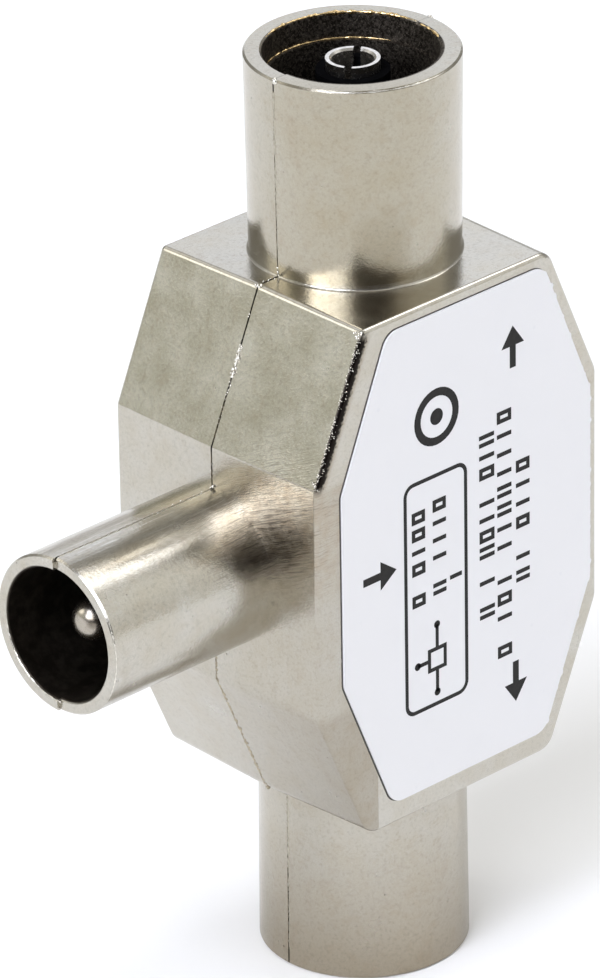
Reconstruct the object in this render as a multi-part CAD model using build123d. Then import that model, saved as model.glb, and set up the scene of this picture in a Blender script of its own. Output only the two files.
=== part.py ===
from build123d import *
from math import radians, tan
import os

os.makedirs("parts", exist_ok=True)

# Millimetres. The origin is the centre of the lower socket's mouth, which the splitter stands on.
# The sockets run along Z, the plug points to -X and the label faces -Y. The two shells meet at y = 0.

# Housing body
overall_height = 56.0
body_height = 32.0
body_left = 11.38
body_right = 11.2
corner_cut_x = 3.85
corner_cut_z = 8.72
front_depth = 8.2
rear_depth = 8.05
draft_angle = 1.4
side_wall = 1.5
face_wall = 1.4
crisp_corner_round = 0.35
soft_corner_round = 1.2
face_round = 0.3
socket_root_round = 0.12
seam_gap = 0.05
seam_depth = 0.25
plug_seam_depth = 0.06
plug_seam_open = 0.5

# Sockets, with the plug's tube as their mate
socket_root_radius = 6.0
socket_rim_radius = 6.13
socket_bore_radius = 4.8
mouth_radius_front = 4.9
mouth_radius_rear = 5.08
mouth_depth = 1.6
socket_lip_radius = 3.6

# Plug
plug_length = 11.88
plug_radius = 4.75
plug_bore_radius = 3.98
plug_lip_radius = 2.6
plug_rear_step = 0.2
rim_break = 0.12

# Insulator discs, held in grooves of the shells
disc_radius = 5.3
plug_disc_radius = 4.5
disc_thickness = 1.5
disc_inset = 0.1
disc_clearance = 0.05
lip_thickness = 1.0
neck_wall = 1.5
sleeve_radius = 2.1
sleeve_below_contact = 0.65

# Contacts and the plug's pin
contact_radius = 1.55
contact_bore_radius = 1.2
contact_floor = 3.18
contact_inset = 0.58
contact_lead = 0.12
contact_seat = 0.7
contact_clearance = 0.04
slot_width = 0.42
slot_above_floor = 2.5
slot_angle = 35.0
pin_radius = 1.19
pin_shank_radius = 1.5
pin_inset = 1.6
pin_tip_round = 1.0
tail_radius = 0.6
tail_lap = 2.0

# Pegs that join the shells
peg_radius = 1.0
peg_length = 2.2
peg_clearance = 0.03
peg_lead = 0.3
peg_boss_radius = 1.7
peg_from_side = 2.95
peg_from_end = 7.4

# Circuit board, clamped between posts
board_thickness = 1.0
board_side_gap = 0.25
board_end_gap = 0.8
solder_film = 0.1
post_radius = 0.9
post_inset = 1.25
clamp_gap = 0.03

# Ferrite cores and their wire
core_span = 4.6
core_length = 3.2
core_thickness = 2.6
core_hole_radius = 0.6
core_hole_pitch = 2.1
matching_core_x = -0.6
splitter_core_x = 3.95
wire_radius = 0.12
wire_lane = 0.4
wire_overhang = 0.45
wire_bend = 0.3
lead_drop = 1.5
lead_foot = 0.8
matching_turns = 2
splitter_turns = 1

# Chips: length, width and height
capacitor_size = (2.0, 1.25, 0.9)
resistor_size = (2.0, 1.25, 0.5)
chip_end = 0.4
chip_end_proud = 0.04
chip_fillet = 0.4
input_chip_place = (-4.2, -3.2)
output_chip_from_tail = 2.2
resistor_place = (2.6, -5.4)

# Solder joints of the contact tails
joint_width = 2.0
joint_crown = 0.7
joint_height = 1.05
joint_lap = 0.6

# Label
label_thickness = 0.13
label_left_margin = 2.03
label_right_margin = 0.85
label_top_margin = 0.9
label_bottom_margin = 1.6
label_cut_x = 3.7
label_cut_z = 8.8
label_corner_round = 1.2

# Places that follow from the sizes above
mid_z = overall_height / 2
half_height = body_height / 2
socket_length = mid_z - half_height
neck_depth = disc_inset + disc_thickness + disc_clearance + lip_thickness
upper_port = Location((0, 0, mid_z + half_height))
lower_port = Location((0, 0, mid_z - half_height), (180, 0, 0))
plug_port = Location((-body_left, 0, mid_z), (0, -90, 0))
peg_left = -(body_left - peg_from_side)
peg_right = body_right - peg_from_side
peg_rise = half_height - peg_from_end
board_left = peg_left + peg_boss_radius + board_side_gap
board_right = peg_right - peg_boss_radius - board_side_gap
board_rise = half_height - neck_depth - board_end_gap
board_front = tail_radius + solder_film
board_back = board_front + board_thickness
reach = 2 * overall_height
over = 1.0


def corner_points(left, right, bottom, top, cut_x, cut_z):
    """Corners of an oblong with its four corners cut off, as (x, z)."""
    return [
        (left + cut_x, bottom), (right - cut_x, bottom), (right, bottom + cut_z), (right, top - cut_z),
        (right - cut_x, top), (left + cut_x, top), (left, top - cut_z), (left, bottom + cut_z),
    ]


def flat(points):
    """Flat face with straight edges between points."""
    return make_face(Polyline(*points, close=True))


body_corners = corner_points(
    -body_left, body_right, mid_z - half_height, mid_z + half_height, corner_cut_x, corner_cut_z
)


def turned(*points):
    """Solid of revolution about Z from (radius, height) points."""
    return revolve(Plane.XZ * flat(points), axis=Axis.Z)


def drafted(outline, y_near, depth):
    """Outline pulled towards -Y from y_near to y = -depth, tapered by the casting draft."""
    near = Plane.XZ.offset(-y_near) * outline
    taper = (depth + y_near) * tan(radians(draft_angle))
    far = Plane.XZ.offset(depth) * offset(outline, -taper, kind=Kind.INTERSECTION)
    return loft([near, far], ruled=True)


def post(x, z, radius, y_from, y_to):
    """Round post along Y."""
    column = Cylinder(radius, y_to - y_from, align=(Align.CENTER, Align.CENTER, Align.MIN))
    return Pos(x, y_from, mid_z + z) * Rot(-90, 0, 0) * column


def peg_places():
    """The four pegs, as (x, z above the body's middle)."""
    return [(x, z) for x in (peg_left, peg_right) for z in (-peg_rise, peg_rise)]


def post_places():
    """The four board posts, near the board's corners."""
    xs = (board_left + post_inset, board_right - post_inset)
    return [(x, z) for x in xs for z in (-board_rise + post_inset, board_rise - post_inset)]


def tube(length, root_radius, rim_radius):
    """Outside of a tube, from inside the body's wall to its rim."""
    return turned(
        (0, -side_wall), (root_radius, -side_wall), (rim_radius, length - rim_break),
        (rim_radius - rim_break, length), (0, length),
    )


def neck(disc):
    """Inner collar that holds the groove of an insulator disc."""
    return turned((0, -neck_depth), (disc + neck_wall, -neck_depth), (disc + neck_wall, 0), (0, 0))


def port_bore(length, bore, disc, lip, mouth=0):
    """Everything that is open along a tube's axis, with the groove for the disc and a wider mouth."""
    groove_low = -(disc_inset + disc_thickness + disc_clearance)
    groove_high = -(disc_inset - disc_clearance)
    groove = disc + disc_clearance
    recess = [(bore, length - mouth_depth), (mouth, length - mouth_depth)] if mouth > bore else []
    rim = max(bore, mouth)
    return turned(
        (0, -neck_depth - over), (lip, -neck_depth - over), (lip, groove_low), (groove, groove_low),
        (groove, groove_high), (bore, groove_high), *recess, (rim, length - rim_break),
        (rim + rim_break, length), (rim + rim_break, length + over), (0, length + over),
    )


def half_shell(depth, mouth, plug_tube_length):
    """One half of the housing, on the -Y side of the seam."""
    outline = flat(body_corners)
    block = drafted(outline, 0, depth)
    block = fillet(corner_edges(block, depth, in_upper_left), crisp_corner_round)
    block = fillet(corner_edges(block, depth, lambda at: not in_upper_left(at)), soft_corner_round)
    block = fillet(block.faces().sort_by(Axis.Y)[0].edges(), face_round)

    near_side = Box(reach, reach, 2 * reach, align=(Align.CENTER, Align.MAX, Align.CENTER))
    socket_tube = tube(socket_length, socket_root_radius, socket_rim_radius)
    plug_tube = tube(plug_tube_length, plug_radius, plug_radius)
    tubes = [upper_port * socket_tube, lower_port * socket_tube, plug_port * plug_tube]
    outer = block + [each & near_side for each in tubes]
    outer = fillet(socket_root_edges(outer), socket_root_round)

    cavity = drafted(offset(outline, -side_wall, kind=Kind.INTERSECTION), over, depth - face_wall)
    socket_neck = neck(disc_radius)
    necks = [upper_port * socket_neck, lower_port * socket_neck, plug_port * neck(plug_disc_radius)]
    bosses = [post(x, z, peg_boss_radius, -depth + face_wall / 2, 0) for x, z in peg_places()]
    shell = outer - cavity + [each & near_side & block for each in necks] + bosses

    socket_open = port_bore(socket_length, socket_bore_radius, disc_radius, socket_lip_radius, mouth)
    plug_open = port_bore(plug_tube_length, plug_bore_radius, plug_disc_radius, plug_lip_radius)
    shell -= [upper_port * socket_open, lower_port * socket_open, plug_port * plug_open]
    return shell - seam_groove(plug_tube_length)


def in_upper_left(at):
    """True in the quarter above the plug, where the body's two corners are crisp."""
    return at.X < 0 and at.Z > mid_z


def corner_edges(block, depth, wanted):
    """The body's corner edges that run back from the front face, where wanted says so of their middle."""
    running_back = block.edges().filter_by(lambda e: e.bounding_box().size.Y > depth / 2)
    return running_back.filter_by(lambda e: wanted(e.center()))


def socket_root_edges(outer):
    """The two edges where the sockets meet the body; the plug's root is cast sharp."""
    wide = outer.edges().filter_by(lambda e: e.length > 2 * plug_radius)
    arcs = wide.filter_by(lambda e: e.bounding_box().size.Y > plug_radius / 2)
    ports = [upper_port, lower_port]
    return [arcs.sort_by(lambda e: (e.bounding_box().center() - port.position).length)[0] for port in ports]


def tube_flat(length, root_radius, rim_radius):
    """Outline of a tube in the seam plane, from inside the body's wall and past its rim."""
    return flat([
        (-root_radius, -side_wall), (root_radius, -side_wall), (rim_radius, length),
        (rim_radius, length + over), (-rim_radius, length + over), (-rim_radius, length),
    ])


def seam_groove(plug_tube_length):
    """Thin groove that runs round the outside of the seam, and is nearly closed along the plug."""
    socket_flat = tube_flat(socket_length, socket_root_radius, socket_rim_radius)
    plug_flat = tube_flat(plug_tube_length, plug_radius, plug_radius)
    silhouette = flat(body_corners) + [
        Pos(0, mid_z + half_height) * socket_flat,
        Pos(0, mid_z - half_height) * Rot(0, 0, 180) * socket_flat,
        Pos(-body_left, mid_z) * Rot(0, 0, 90) * plug_flat,
    ]
    closed_radius = plug_radius - plug_seam_depth
    closed_length = plug_tube_length - plug_seam_open
    closed = Pos(-body_left - closed_length / 2, mid_z) * Rectangle(closed_length, 2 * closed_radius)
    kept = offset(silhouette, -seam_depth, kind=Kind.INTERSECTION) + closed
    slab = Box(reach, seam_gap, 2 * reach, align=(Align.CENTER, Align.MAX, Align.CENTER))
    return slab - extrude(Plane.XZ * kept, amount=seam_gap)


def peg(x, z):
    """Peg cast on the front half, with a lead on its tip."""
    column = post(x, z, peg_radius, -peg_length, peg_length)
    return chamfer(column.edges().sort_by(Axis.Y)[-1], peg_lead)


def front_shell():
    """Front half with the pegs and the clamping posts."""
    shell = half_shell(front_depth, mouth_radius_front, plug_length)
    shell += [peg(x, z) for x, z in peg_places()]
    floor = -front_depth + face_wall / 2
    return shell + [post(x, z, post_radius, floor, board_front - clamp_gap) for x, z in post_places()]


def rear_shell():
    """Rear half with the holes for the pegs and the posts that the board lies on."""
    shell = mirror(half_shell(rear_depth, mouth_radius_rear, plug_length + plug_rear_step), about=Plane.XZ)
    floor = rear_depth - face_wall / 2
    shell += [post(x, z, post_radius, board_back, floor) for x, z in post_places()]
    hole = peg_radius + peg_clearance
    holes = [post(x, z, hole, -over, peg_length + peg_clearance) for x, z in peg_places()]
    return shell - holes


def socket_contact(tail_end):
    """Slotted spring contact with its solder tail, along +Z out of the body."""
    top = socket_length - contact_inset
    floor = contact_floor - contact_seat
    slot_length = top - floor - slot_above_floor
    contact = turned(
        (0, -tail_end), (tail_radius, -tail_end),
        (tail_radius, -contact_seat), (contact_radius, -contact_seat),
        (contact_radius, top), (contact_bore_radius + contact_lead, top),
        (contact_bore_radius, top - contact_lead), (contact_bore_radius, floor), (0, floor),
    )
    saw = Box(reach, slot_width, slot_length, align=(Align.CENTER, Align.CENTER, Align.MAX))
    return contact - Pos(0, 0, top) * Rot(0, 0, slot_angle) * saw


def socket_insulator():
    """Disc with the sleeve that stands round the contact."""
    low = -(disc_inset + disc_thickness)
    top = socket_length - contact_inset - sleeve_below_contact
    bore = contact_radius + contact_clearance
    hole = tail_radius + contact_clearance
    return turned(
        (hole, low), (disc_radius, low), (disc_radius, -disc_inset), (sleeve_radius, -disc_inset),
        (sleeve_radius, top), (bore, top), (bore, -contact_seat), (hole, -contact_seat),
    )


def plug_pin(tail_end):
    """Round-tipped centre pin with its solder tail."""
    top = plug_length - pin_inset
    shoulder = -(disc_inset + disc_thickness)
    pin = turned(
        (0, -tail_end), (tail_radius, -tail_end), (tail_radius, shoulder), (pin_shank_radius, shoulder),
        (pin_shank_radius, -disc_inset), (pin_radius, -disc_inset), (pin_radius, top), (0, top),
    )
    return fillet(pin.edges().sort_by(Axis.Z)[-1], pin_tip_round)


def plug_insulator():
    """Plain disc round the pin's shank."""
    low = -(disc_inset + disc_thickness)
    hole = pin_shank_radius + contact_clearance
    high = -disc_inset
    return turned((hole, low), (plug_disc_radius, low), (plug_disc_radius, high), (hole, high))


def tail_joint(tail, length):
    """Solder mound on the board round a tail, drawn for a tail that lies along -Z from z = 0."""
    foot = Plane.XZ.offset(-board_front) * Pos(0, -length / 2) * Rectangle(joint_width, length)
    crown = Plane.XZ.offset(joint_height - board_front) * Pos(0, -length / 2) * Rectangle(
        joint_crown, length - joint_width + joint_crown
    )
    return loft([foot, crown], ruled=True) - tail


def chip(size):
    """Chip lying on y = 0 towards -Y, along X, with its two metal ends."""
    length, width, height = size
    body = Box(length - chip_end_proud, height - chip_end_proud, width - chip_end_proud)
    cap = Box(chip_end, height, width)
    ends = [Pos(side * (length - chip_end) / 2, 0, 0) * cap for side in (-1, 1)]
    return Pos(0, -height / 2, 0) * (body + ends)


def chip_fillets(size):
    """The two solder wedges at a chip's ends."""
    length, width, height = size
    wedge = flat([(0, 0), (chip_fillet, 0), (0, -height / 2)])
    right = Pos(length / 2, 0, -width / 2) * extrude(wedge, amount=width)
    return [right, mirror(right, about=Plane.YZ)]


def on_board(x, z, turn=0):
    """Place on the board's front face, turned about Y."""
    return Location((x, board_front, mid_z + z), (0, turn, 0))


def ferrite_core(x):
    """Two-hole core with its holes along X."""
    block = Box(core_length, core_thickness, core_span)
    block = fillet(block.edges().filter_by(Axis.X), core_hole_radius)
    hole = Rot(0, 90, 0) * Cylinder(core_hole_radius, reach)
    holes = [Pos(0, 0, side * core_hole_pitch / 2) * hole for side in (-1, 1)]
    return Pos(x, board_front - core_thickness / 2, mid_z) * (block - holes)


def winding(x, turns, side):
    """Enamelled wire through both holes, with its two leads on the board; side is +1 or -1 along X."""
    end = side * (core_length / 2 + wire_overhang)
    rise = core_hole_pitch / 2
    on_surface = core_thickness / 2 - wire_radius - clamp_gap
    points = [(end, on_surface, rise + lead_drop + lead_foot), (end, on_surface, rise + lead_drop)]
    for turn in range(turns):
        lane = wire_lane * ((turns - 1) / 2 - turn)
        points += [(end, lane, rise), (-end, lane, rise), (-end, lane, -rise), (end, lane, -rise)]
    points += [(end, on_surface, -rise - lead_drop), (end, on_surface, -rise - lead_drop - lead_foot)]
    path = FilletPolyline(*points, radius=wire_bend)
    section = Plane(path @ 0, z_dir=path % 0) * Circle(wire_radius)
    return Pos(x, board_front - core_thickness / 2, mid_z) * sweep(section, path=path)


def circuit_board():
    """Board that lies on the rear posts, with the contact tails on its front face."""
    width = board_right - board_left
    board = Box(width, board_thickness, 2 * board_rise, align=(Align.CENTER, Align.MIN, Align.CENTER))
    return Pos(board_left + width / 2, board_front, mid_z) * board


def label():
    """Raised sticker on the front face."""
    outline = flat(corner_points(
        -body_left + label_left_margin, body_right - label_right_margin,
        mid_z - half_height + label_bottom_margin, mid_z + half_height - label_top_margin,
        label_cut_x, label_cut_z,
    ))
    outline = fillet(outline.vertices(), label_corner_round)
    return extrude(Plane.XZ.offset(front_depth) * outline, amount=label_thickness)


socket_tail_end = neck_depth + board_end_gap + tail_lap
plug_tail_end = body_left + board_left + tail_lap
upper_contact = upper_port * socket_contact(socket_tail_end)
lower_contact = lower_port * socket_contact(socket_tail_end)
pin = plug_port * plug_pin(plug_tail_end)
joint_length = tail_lap + joint_lap
output_joint = tail_joint(Pos(0, 0, -mid_z - board_rise) * upper_contact, joint_length)
input_joint = tail_joint(Pos(0, 0, body_left + board_left) * plug_pin(plug_tail_end), joint_length)
output_rise = board_rise - joint_length - output_chip_from_tail

chips = {
    "input_capacitor": (capacitor_size, on_board(*input_chip_place)),
    "upper_capacitor": (capacitor_size, on_board(0, output_rise, 90)),
    "lower_capacitor": (capacitor_size, on_board(0, -output_rise, 90)),
    "isolation_resistor": (resistor_size, on_board(*resistor_place)),
}

pieces = {
    "front_shell": front_shell(),
    "rear_shell": rear_shell(),
    "label": label(),
    "plug_pin": pin,
    "plug_insulator": plug_port * plug_insulator(),
    "upper_contact": upper_contact,
    "lower_contact": lower_contact,
    "upper_insulator": upper_port * socket_insulator(),
    "lower_insulator": lower_port * socket_insulator(),
    "circuit_board": circuit_board(),
    "matching_core": ferrite_core(matching_core_x),
    "matching_winding": winding(matching_core_x, matching_turns, -1),
    "splitter_core": ferrite_core(splitter_core_x),
    "splitter_winding": winding(splitter_core_x, splitter_turns, 1),
    "upper_solder": Pos(0, 0, mid_z + board_rise) * output_joint,
    "lower_solder": Pos(0, 0, mid_z - board_rise) * mirror(output_joint, about=Plane.XY),
    "input_solder": Location((board_left, 0, mid_z), (0, -90, 0)) * input_joint,
    "chip_solder": Compound(
        [place * wedge for size, place in chips.values() for wedge in chip_fillets(size)]
    ),
}
for name, (size, place) in chips.items():
    pieces[name] = place * chip(size)

for name, shape in pieces.items():
    export_step(shape, f"parts/{name}.step")
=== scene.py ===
import bpy
import bmesh
from math import ceil, cos, pi, radians, sin
from mathutils import Matrix, Vector, noise
from random import Random


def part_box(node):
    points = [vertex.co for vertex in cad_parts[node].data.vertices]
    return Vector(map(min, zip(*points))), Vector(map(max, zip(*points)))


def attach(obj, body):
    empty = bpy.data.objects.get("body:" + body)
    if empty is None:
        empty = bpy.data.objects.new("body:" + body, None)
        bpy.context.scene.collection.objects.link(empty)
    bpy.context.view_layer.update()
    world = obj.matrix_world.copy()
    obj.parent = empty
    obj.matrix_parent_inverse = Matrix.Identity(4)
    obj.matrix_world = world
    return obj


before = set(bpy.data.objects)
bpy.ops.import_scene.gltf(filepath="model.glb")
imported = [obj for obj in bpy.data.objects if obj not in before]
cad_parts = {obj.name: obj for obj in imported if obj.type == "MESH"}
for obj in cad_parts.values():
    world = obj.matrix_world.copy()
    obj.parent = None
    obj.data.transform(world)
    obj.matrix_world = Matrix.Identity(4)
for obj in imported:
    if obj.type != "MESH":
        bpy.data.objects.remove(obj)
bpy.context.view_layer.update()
mm = 0.001
rootBody = "root"
seamFloor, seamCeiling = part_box("front_shell")
middle = Vector((0, 0, (seamFloor.z + seamCeiling.z) / 2))  # centre of the body, on the sockets' axis
labelLow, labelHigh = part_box("label")
print("frame loaded:", len(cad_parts), "nodes")


# Materials

noiseRoughness = 0.55


def metres(values):
    return [value * mm for value in values]


def newMaterial(name):
    material = bpy.data.materials.new(name)
    material.use_nodes = True
    material.node_tree.nodes.clear()
    tree = material.node_tree
    output = tree.nodes.new("ShaderNodeOutputMaterial")
    shader = tree.nodes.new("ShaderNodeBsdfPrincipled")
    tree.links.new(shader.outputs["BSDF"], output.inputs["Surface"])
    return material, tree, shader


def link(tree, source, target):
    tree.links.new(source, target)


def objectPoint(tree):
    return tree.nodes.new("ShaderNodeTexCoord").outputs["Object"]


def noiseField(tree, point, size, detail):
    field = tree.nodes.new("ShaderNodeTexNoise")  # size is the width of one blotch, in metres
    field.inputs["Scale"].default_value = 1 / size
    field.inputs["Detail"].default_value = detail
    field.inputs["Roughness"].default_value = noiseRoughness
    link(tree, point, field.inputs["Vector"])
    return field.outputs["Fac"]


def streakField(tree, point, sizes, turn=0.0, detail=2.0):
    lay = tree.nodes.new("ShaderNodeMapping")  # sizes: a streak's reach on each axis, after a turn about X
    lay.vector_type = "POINT"
    lay.inputs["Rotation"].default_value = (radians(turn), 0, 0)
    stretch = tree.nodes.new("ShaderNodeVectorMath")
    stretch.operation = "DIVIDE"
    stretch.inputs[1].default_value = sizes
    link(tree, point, lay.inputs["Vector"])
    link(tree, lay.outputs["Vector"], stretch.inputs[0])
    return noiseField(tree, stretch.outputs["Vector"], 1.0, detail)


def spotField(tree, point, size):
    cells = tree.nodes.new("ShaderNodeTexVoronoi")  # distance to the nearest of many scattered points
    cells.inputs["Scale"].default_value = 1 / size
    link(tree, point, cells.inputs["Vector"])
    return cells.outputs["Distance"]


def spread(tree, value, low, high, fromLow=0.3, fromHigh=0.7):
    mapped = tree.nodes.new("ShaderNodeMapRange")
    mapped.inputs["From Min"].default_value = fromLow
    mapped.inputs["From Max"].default_value = fromHigh
    mapped.inputs["To Min"].default_value = low
    mapped.inputs["To Max"].default_value = high
    link(tree, value, mapped.inputs["Value"])
    return mapped.outputs["Result"]


def blend(tree, factor, first, second, mode="MIX"):
    mixer = tree.nodes.new("ShaderNodeMix")
    mixer.data_type = "RGBA"
    mixer.blend_type = mode
    for socket, value in (("Factor", factor), ("A", first), ("B", second)):
        kinds = ("VALUE",) if socket == "Factor" else ("RGBA",)
        target = next(s for s in mixer.inputs if s.name == socket and s.type in kinds)
        if hasattr(value, "is_linked"):
            link(tree, value, target)
        elif socket == "Factor":
            target.default_value = value
        else:
            target.default_value = (*value, 1)
    return next(s for s in mixer.outputs if s.type == "RGBA")


def calculate(tree, operation, first, second=0.0):
    node = tree.nodes.new("ShaderNodeMath")
    node.operation = operation
    for index, value in enumerate((first, second)):
        if hasattr(value, "is_linked"):
            link(tree, value, node.inputs[index])
        else:
            node.inputs[index].default_value = value
    return node.outputs["Value"]


def product(tree, first, *others):
    for other in others:
        first = calculate(tree, "MULTIPLY", first, other)
    return first


def weightedSum(tree, first, firstWeight, second, secondWeight):
    return calculate(tree, "ADD", product(tree, first, firstWeight), product(tree, second, secondWeight))


def splitPoint(tree, point):
    axes = tree.nodes.new("ShaderNodeSeparateXYZ")
    link(tree, point, axes.inputs["Vector"])
    return [axes.outputs[name] for name in ("X", "Y", "Z")]


def lengthOf(tree, first, second):
    squares = [product(tree, side, side) for side in (first, second)]
    return calculate(tree, "SQRT", calculate(tree, "ADD", *squares))


def distanceTo(tree, point, place):
    away = tree.nodes.new("ShaderNodeVectorMath")
    away.operation = "DISTANCE"
    away.inputs[1].default_value = place
    link(tree, point, away.inputs[0])
    return away.outputs["Value"]


def addBump(tree, shader, height, distance, strength, below=None):
    bump = tree.nodes.new("ShaderNodeBump")
    bump.inputs["Distance"].default_value = distance
    bump.inputs["Strength"].default_value = strength
    link(tree, height, bump.inputs["Height"])
    if below is not None:
        link(tree, below, bump.inputs["Normal"])
    link(tree, bump.outputs["Normal"], shader.inputs["Normal"])
    return bump.outputs["Normal"]


castingFinish = {
    "warm": (0.490, 0.457, 0.383), "cool": (0.540, 0.520, 0.466), "stain": (0.40, 0.33, 0.24),
    "speck": (0.14, 0.12, 0.095), "rub": (0.82, 0.79, 0.73), "roughness": (0.17, 0.28),
    "blotch": 2.6 * mm, "cloud": 0.7 * mm, "grain": 0.2 * mm, "fine": 0.09 * mm,
    "stained": (0, 0.24, 0.5, 0.74), "specked": (0, 0.20, 0.5, 0.75), "rubbed": (0, 0.10, 0.5, 0.7),
    "pitSpacing": 0.9 * mm, "pitRadius": (0.03, 0.085), "pitRoughness": 0.2,
    "pitBlotch": (0, 0.7, 0.5, 0.62), "pitCloud": (0, 1, 0.4, 0.6),
    "waveBump": (0.012 * mm, 0.5), "fineBump": (0.004 * mm, 0.5), "grainBump": (0.011 * mm, 0.5),
    "scratchBump": (0.02 * mm, 0.6), "pitBump": (0.02 * mm, 0.5),
}
paintedEdgeReflection = {  # painted dark reflection with a brown fringe, on the edge between the upper left chamfer and the front face, in millimetres
    "dark": (0.016, 0.013, 0.011), "darkReach": (0.55, 0.72),
    "brown": (0.30, 0.25, 0.18), "brownReach": (0.62, 1.0), "brownShare": 0.75,
    "from": (-7.53, 16), "inward": (0.915, -0.404), "wander": 0.5,
    "foot": (6.9, 7.5), "top": (15.2, 15.7), "front": (-8.02, -7.94),
}
seamDirt = {  # dark line along the seam, in millimetres: thinner on the plug and below the body's middle
    "color": (0.05, 0.042, 0.033), "wander": 0.14, "reach": (0.02, 0.08), "share": 0.85,
    "plugEnd": (-12.2, -11.4), "plugShare": 0.1, "lower": (-2, 9), "lowerShare": 0.12,
    "neck": (16.1, 16.5), "neckShare": 0.3,
}
paintedBoreShade = {  # painted shade inside the sockets and the plug, with lighter haze and specks, and their radii in millimetres
    "socket": (5.08, 5.14), "plug": (4.02, 4.08), "plugEnd": -9, "dark": (0.028, 0.023, 0.018),
    "socketHaze": (0.12, 0.105, 0.088), "socketHazed": (0, 1, 0.42, 0.62),
    "socketSpark": (0.36, 0.32, 0.26), "socketSparked": (0, 0.6, 0.56, 0.7),
    "plugHaze": (0.055, 0.046, 0.036), "plugHazed": (0, 1, 0.42, 0.66), "roughness": 0.5,
}
paintedShade = {  # painted shade multiplied into the colour, on the left face's front, the top tube and the lower tube's foot; reaches in millimetres
    "leftColor": (0.74, 0.71, 0.67), "plugRadius": 4.753, "plugEnd": -11.2, "leftFace": -6.7,
    "leftTop": (6.9, 7.4), "frontward": (-8.2, 5), "chamfer": (-7.6, -6.8), "chamferShare": 0.45,
    "neckColor": (0.80, 0.77, 0.69), "neckToward": (-0.66, -0.75), "neckReach": (3.2, 5.8),
    "neckFoot": (15.9, 16.3), "neckShare": 0.4,
    "rootColor": (0.72, 0.69, 0.63), "rootToward": (-0.48, -0.875), "rootReach": (5.7, 6.0),
    "rootFoot": 16.2, "rootTop": (17, 21.5),
    "footColor": (0.66, 0.61, 0.54), "footReach": 9, "footTop": 12, "footShares": (1.2, 0.25),
    "footBlotch": (0.8, 1),
}
plugMarks = {  # scratches by the plug's root, and a smudge there that is partly wear and partly painted dark reflection; streaks on the plug's top; in millimetres
    "scratchAt": (-11.8, -5.6, 32.6), "scratchReach": (2.4, 5.6), "scratchTurn": 24,
    "scratchSizes": (0.9, 1.3, 0.05), "scratched": (0, 0.6, 0.54, 0.68), "stained": (0.2, 0.7),
    "smudgeAndShadeAt": (-11.6, -5.1, 31.2), "smudgeAndShadeReach": (0.9, 3.0), "smudgeAndShade": (0.085, 0.073, 0.065),
    "smudgeAndShadeScratch": (0.35, 0.9, 0.4, 0.6), "smudgeAndShadeCloud": (0.55, 1, 0.35, 0.6),
    "streakAbove": (31.9, 32.5), "streakEnd": -11.5, "streakSizes": (3.2, 0.13, 0.13),
    "streakDark": (0, 0.25, 0.5, 0.66), "streakBright": (0.5, 0, 0.32, 0.42),
}


def edgeReflectionMasks(tree, x, y, rise, wander):
    edge = paintedEdgeReflection
    fromX, fromRise = metres(edge["from"])
    inwardX, inwardRise = edge["inward"]
    along = weightedSum(tree, calculate(tree, "SUBTRACT", x, fromX), inwardX,
                        calculate(tree, "SUBTRACT", rise, fromRise), inwardRise)
    astray = product(tree, calculate(tree, "SUBTRACT", wander, 0.5), edge["wander"] * mm)
    inward = calculate(tree, "ADD", along, astray)
    onFront = product(tree, spread(tree, rise, 0, 1, *metres(edge["foot"])),
                      spread(tree, rise, 1, 0, *metres(edge["top"])),
                      spread(tree, y, 1, 0, *metres(edge["front"])))
    dark = spread(tree, inward, 1, 0, *metres(edge["darkReach"]))
    brown = spread(tree, inward, edge["brownShare"], 0, *metres(edge["brownReach"]))
    return product(tree, dark, onFront), product(tree, brown, onFront)


def boreMasks(tree, x, y, rise):
    inSocket = spread(tree, lengthOf(tree, x, y), 1, 0, *metres(paintedBoreShade["socket"]))
    inPlug = spread(tree, lengthOf(tree, y, rise), 1, 0, *metres(paintedBoreShade["plug"]))
    leftSide = calculate(tree, "LESS_THAN", x, paintedBoreShade["plugEnd"] * mm)
    return inSocket, product(tree, inPlug, leftSide)


def seamDirtMask(tree, x, y, rise, wander):
    dirt = seamDirt
    astray = product(tree, calculate(tree, "SUBTRACT", wander, 0.5), dirt["wander"] * mm)
    fromSeam = calculate(tree, "ADD", calculate(tree, "ABSOLUTE", y), astray)
    return product(tree, spread(tree, fromSeam, dirt["share"], 0, *metres(dirt["reach"])),
                   spread(tree, x, dirt["plugShare"], 1, *metres(dirt["plugEnd"])),
                   spread(tree, rise, dirt["lowerShare"], 1, *metres(dirt["lower"])),
                   spread(tree, rise, 1, dirt["neckShare"], *metres(dirt["neck"])))


def leftFaceMask(tree, x, y, rise):
    shaded = paintedShade
    beside = calculate(tree, "GREATER_THAN", lengthOf(tree, y, rise), shaded["plugRadius"] * mm)
    offPlug = calculate(tree, "MAXIMUM", beside, calculate(tree, "GREATER_THAN", x, shaded["plugEnd"] * mm))
    return product(tree, calculate(tree, "LESS_THAN", x, shaded["leftFace"] * mm),
                   spread(tree, rise, 1, 0, *metres(shaded["leftTop"])), offPlug)


# Painted shade: the left face darker toward its front, the top tube darker all round and more on its camera
# side and at its root, the lower tube darker at its foot.
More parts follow.
